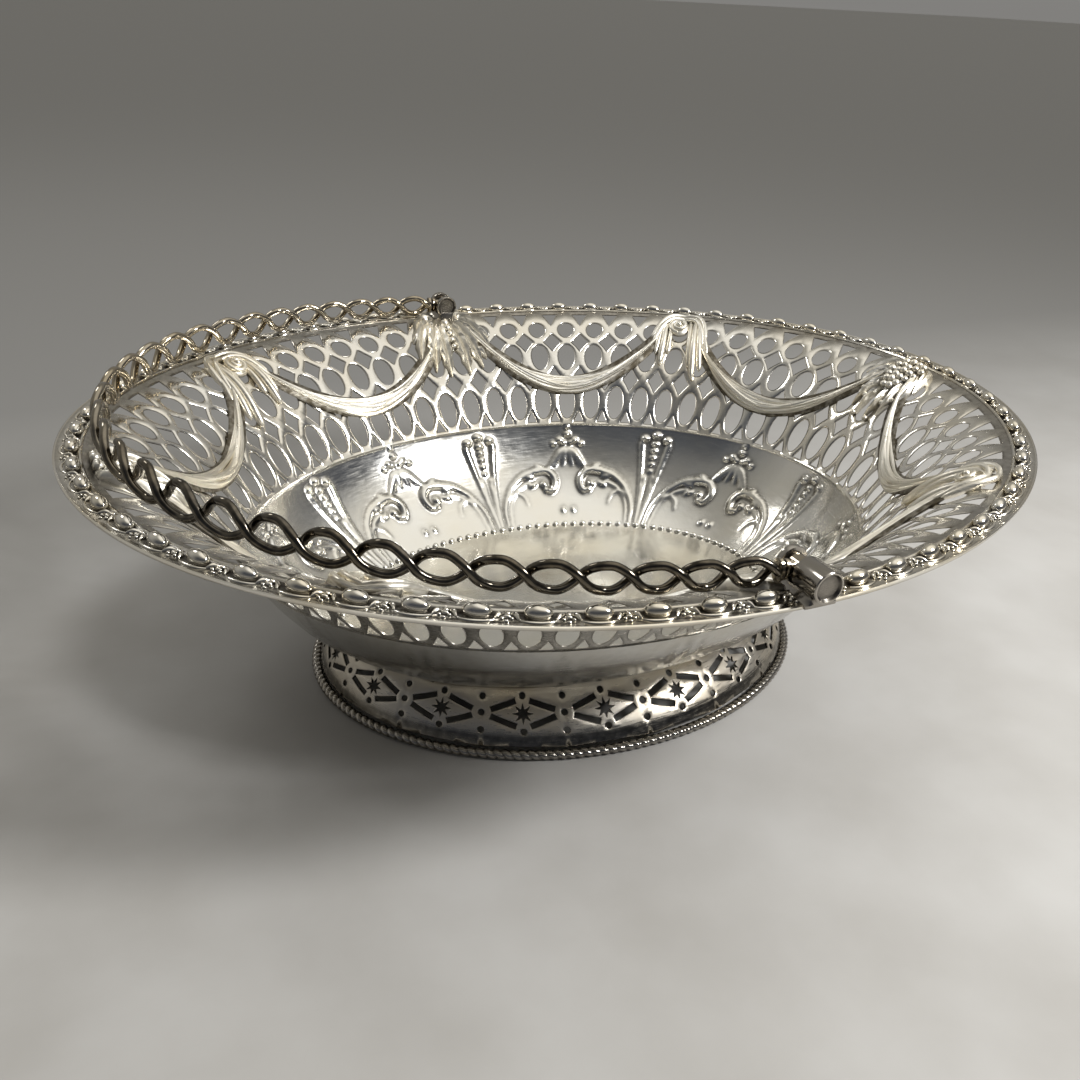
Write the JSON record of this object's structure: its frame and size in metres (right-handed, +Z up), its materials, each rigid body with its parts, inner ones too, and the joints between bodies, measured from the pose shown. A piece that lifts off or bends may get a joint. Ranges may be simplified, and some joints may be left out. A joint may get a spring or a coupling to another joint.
{
  "type": "swing-handle basket",
  "caption": "Oval pierced silver cake basket on a pierced foot, with a beaded border, applied swags and a swing handle of twisted wires.",
  "frame": {"origin": "middle of the foot, on the table", "axes": "+X along the oval, away from the folded handle; +Y across the oval to the back hinge; +Z up"},
  "size_m": [0.3596, 0.3009, 0.1179],
  "materials": {
    "silver_sheet": "polished silver sheet, pierced and chased, lightly tarnished in the recesses",
    "silver_cast": "cast and stamped silver ornament, polished on the high points and darker in the recesses",
    "silver_handle": "polished silver wire, slightly worn",
    "hinge_pin": "plain drawn pin"
  },
  "bodies": {
    "basket": {"dish": "silver_sheet", "pierced_wall": "silver_sheet", "beaded_border": "silver_cast", "foot_band": "silver_sheet", "foot_rope_border": "silver_cast", "swag_1": "silver_cast", "swag_2": "silver_cast", "swag_3": "silver_cast", "swag_4": "silver_cast", "swag_5": "silver_cast", "swag_6": "silver_cast", "swag_7": "silver_cast", "swag_8": "silver_cast", "berry_mount_right": "silver_cast", "volute_mount_1": "silver_cast", "leaf_mount_back": "silver_cast", "volute_mount_2": "silver_cast", "berry_mount_left": "silver_cast", "volute_mount_3": "silver_cast", "leaf_mount_front": "silver_cast", "volute_mount_4": "silver_cast", "hinge_bracket_front": "silver_cast", "hinge_bracket_back": "silver_cast", "hinge_pin_front": "hinge_pin", "hinge_pin_back": "hinge_pin"},
    "handle": {"handle_wire_a": "silver_handle", "handle_wire_b": "silver_handle", "handle_terminal_front": "silver_handle", "handle_terminal_back": "silver_handle"}
  },
  "joints": [
    {"name": "handle_swing", "type": "hinge", "parent": "basket", "child": "handle", "pos_m": [0, 0, 0.1037], "axis": [0, 1, 0], "range_deg": [0, 174.6]}
  ]
}
